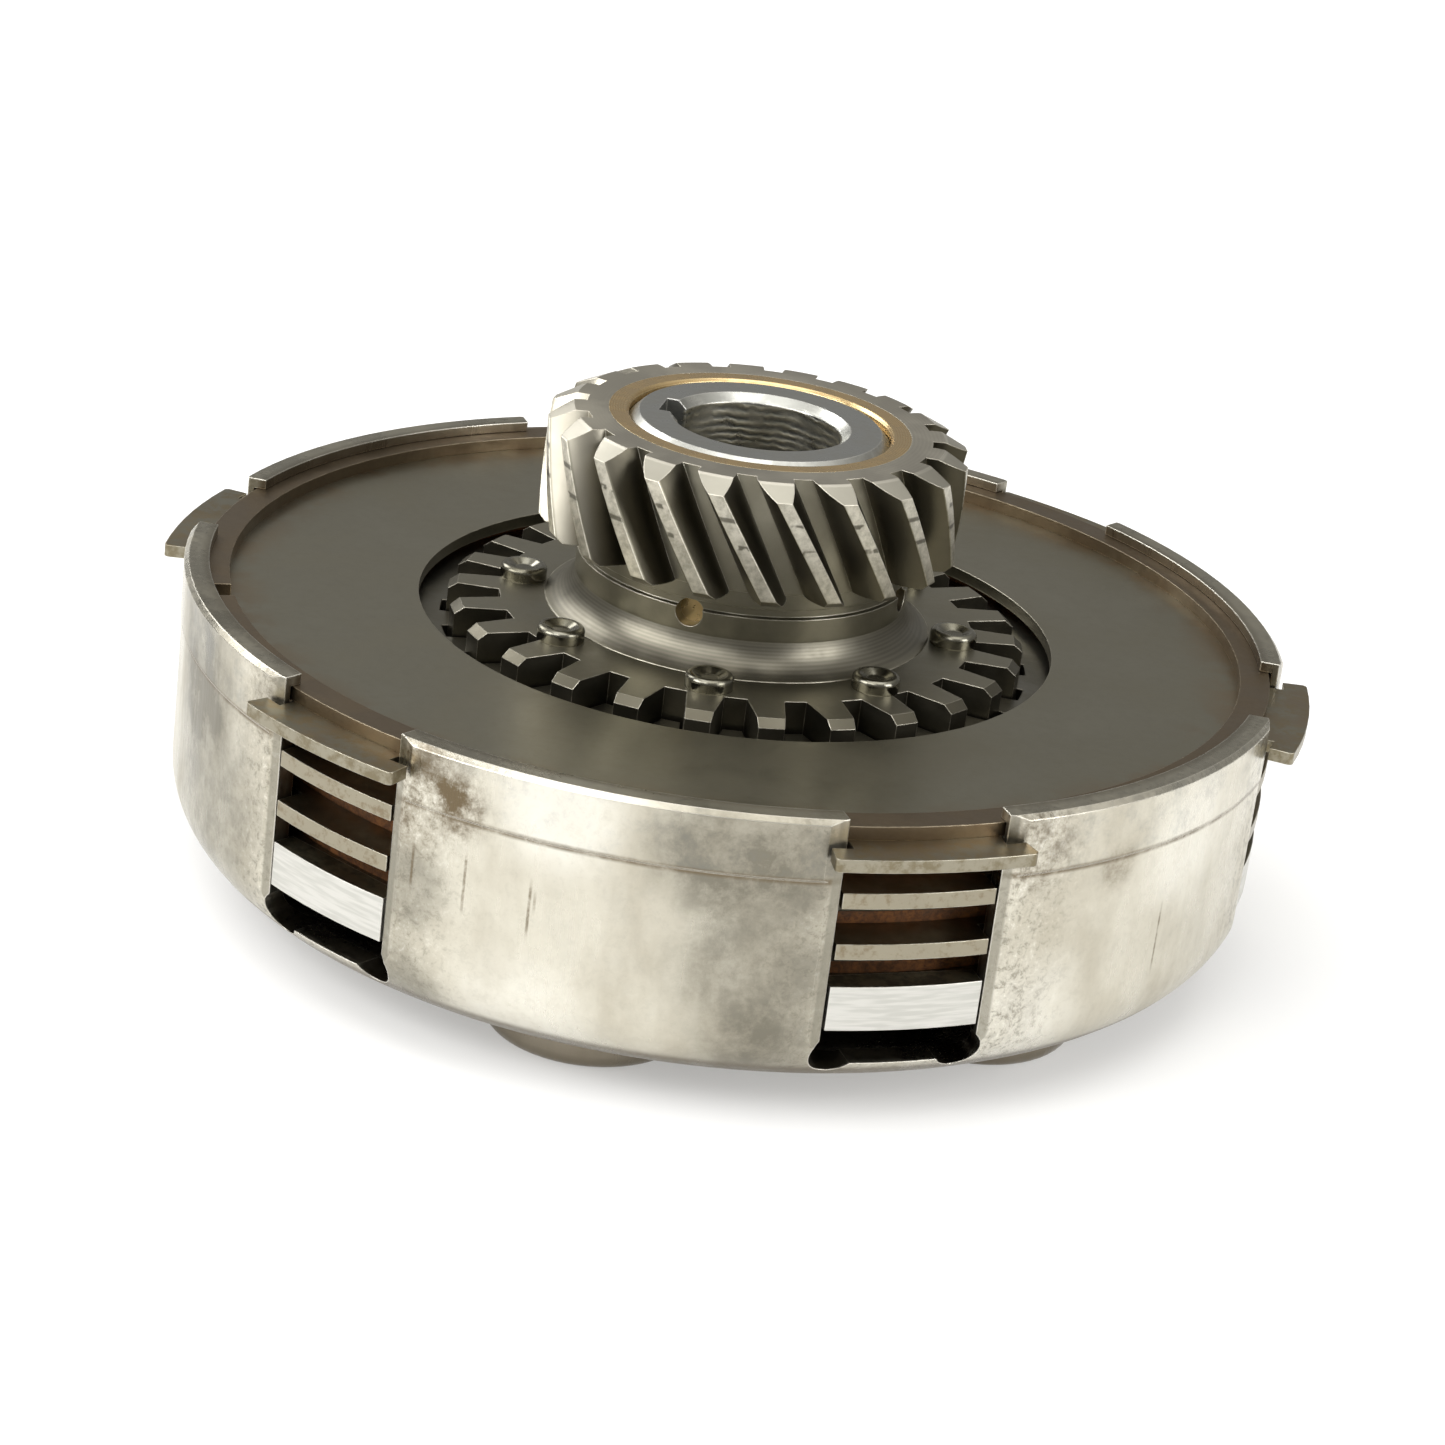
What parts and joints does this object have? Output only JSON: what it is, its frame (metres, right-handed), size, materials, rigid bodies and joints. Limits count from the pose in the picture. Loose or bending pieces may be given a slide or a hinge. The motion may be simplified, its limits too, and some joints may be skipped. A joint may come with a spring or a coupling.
{
  "type": "multi-plate clutch with drive pinion",
  "caption": "Wet multi-plate clutch: windowed round basket holding friction and steel plates, with a helical drive pinion riveted to a toothed spider.",
  "frame": {"origin": "on the shaft axis, in the plane of the spring pockets' lowest faces", "axes": "+Z along the shaft axis from the basket towards the pinion; +X through the middle of a window in the basket"},
  "size_m": [0.1132, 0.108, 0.0484],
  "materials": {
    "basket_steel": "satin pressed steel with light staining",
    "dark_steel": "dark satin, oily",
    "brown_steel": "dark brown heat tint",
    "plain_steel": "ground",
    "plate_steel": "satin, light brown film",
    "core_steel": "dark, oily",
    "spring_steel": "dark drawn wire",
    "friction": "brown friction lining",
    "base_metal": "bright, machined",
    "hub_steel": "ground, with a bright bevel",
    "rivet_steel": "dark, oily",
    "bronze": "turned bronze",
    "gear_steel": "dark oiled gear steel with bright edges"
  },
  "bodies": {
    "hub": {"hub": "hub_steel", "base_plate": "base_metal", "hub_rivets": "rivet_steel", "thrust_washer": "plain_steel", "spring_1": "spring_steel", "spring_2": "spring_steel", "spring_3": "spring_steel", "spring_4": "spring_steel", "spring_5": "spring_steel", "spring_6": "spring_steel"},
    "basket": {"basket": "basket_steel", "top_plate": "dark_steel", "retaining_ring": "brown_steel", "release_disc": "plain_steel", "disc_clip": "spring_steel"},
    "steel_plate_upper": {"steel_plate_upper": "plate_steel"},
    "steel_plate_lower": {"steel_plate_lower": "plate_steel"},
    "pinion": {"pinion": "gear_steel", "bronze_bush": "bronze", "spider": "gear_steel", "spider_rivets": "rivet_steel"},
    "friction_plate_upper": {"friction_core_upper": "core_steel", "friction_lining_upper": "friction"},
    "friction_plate_middle": {"friction_core_middle": "core_steel", "friction_lining_middle": "friction"},
    "friction_plate_lower": {"friction_core_lower": "core_steel", "friction_lining_lower": "friction"}
  },
  "joints": [
    {"name": "release", "type": "slide", "parent": "hub", "child": "basket", "axis": [0, 0, 1], "range_m": [0, 0.0018], "stiffness_N_per_m": 6000, "springref_m": -0.003, "deforming": ["spring_1", "spring_2", "spring_3", "spring_4", "spring_5", "spring_6"]},
    {"name": "steel_upper_slide", "type": "slide", "parent": "hub", "child": "steel_plate_upper", "axis": [0, 0, 1], "range_m": [0, 0.00121]},
    {"name": "steel_lower_slide", "type": "slide", "parent": "hub", "child": "steel_plate_lower", "axis": [0, 0, 1], "range_m": [0, 0.00061]},
    {"name": "pinion_spin", "type": "hinge", "parent": "hub", "child": "pinion", "pos_m": [0, 0, 0.0305], "axis": [0, 0, 1], "continuous": true},
    {"name": "friction_upper_slide", "type": "slide", "parent": "pinion", "child": "friction_plate_upper", "axis": [0, 0, 1], "range_m": [0, 0.00151]},
    {"name": "friction_middle_slide", "type": "slide", "parent": "pinion", "child": "friction_plate_middle", "axis": [0, 0, 1], "range_m": [0, 0.00091]},
    {"name": "friction_lower_slide", "type": "slide", "parent": "pinion", "child": "friction_plate_lower", "axis": [0, 0, 1], "range_m": [0, 0.00031]}
  ],
  "couplings": [
    {"joint": "steel_upper_slide", "follows": "release", "ratio": 0.66667},
    {"joint": "steel_lower_slide", "follows": "release", "ratio": 0.33333},
    {"joint": "friction_upper_slide", "follows": "release", "ratio": 0.83333},
    {"joint": "friction_middle_slide", "follows": "release", "ratio": 0.5},
    {"joint": "friction_lower_slide", "follows": "release", "ratio": 0.16667}
  ]
}
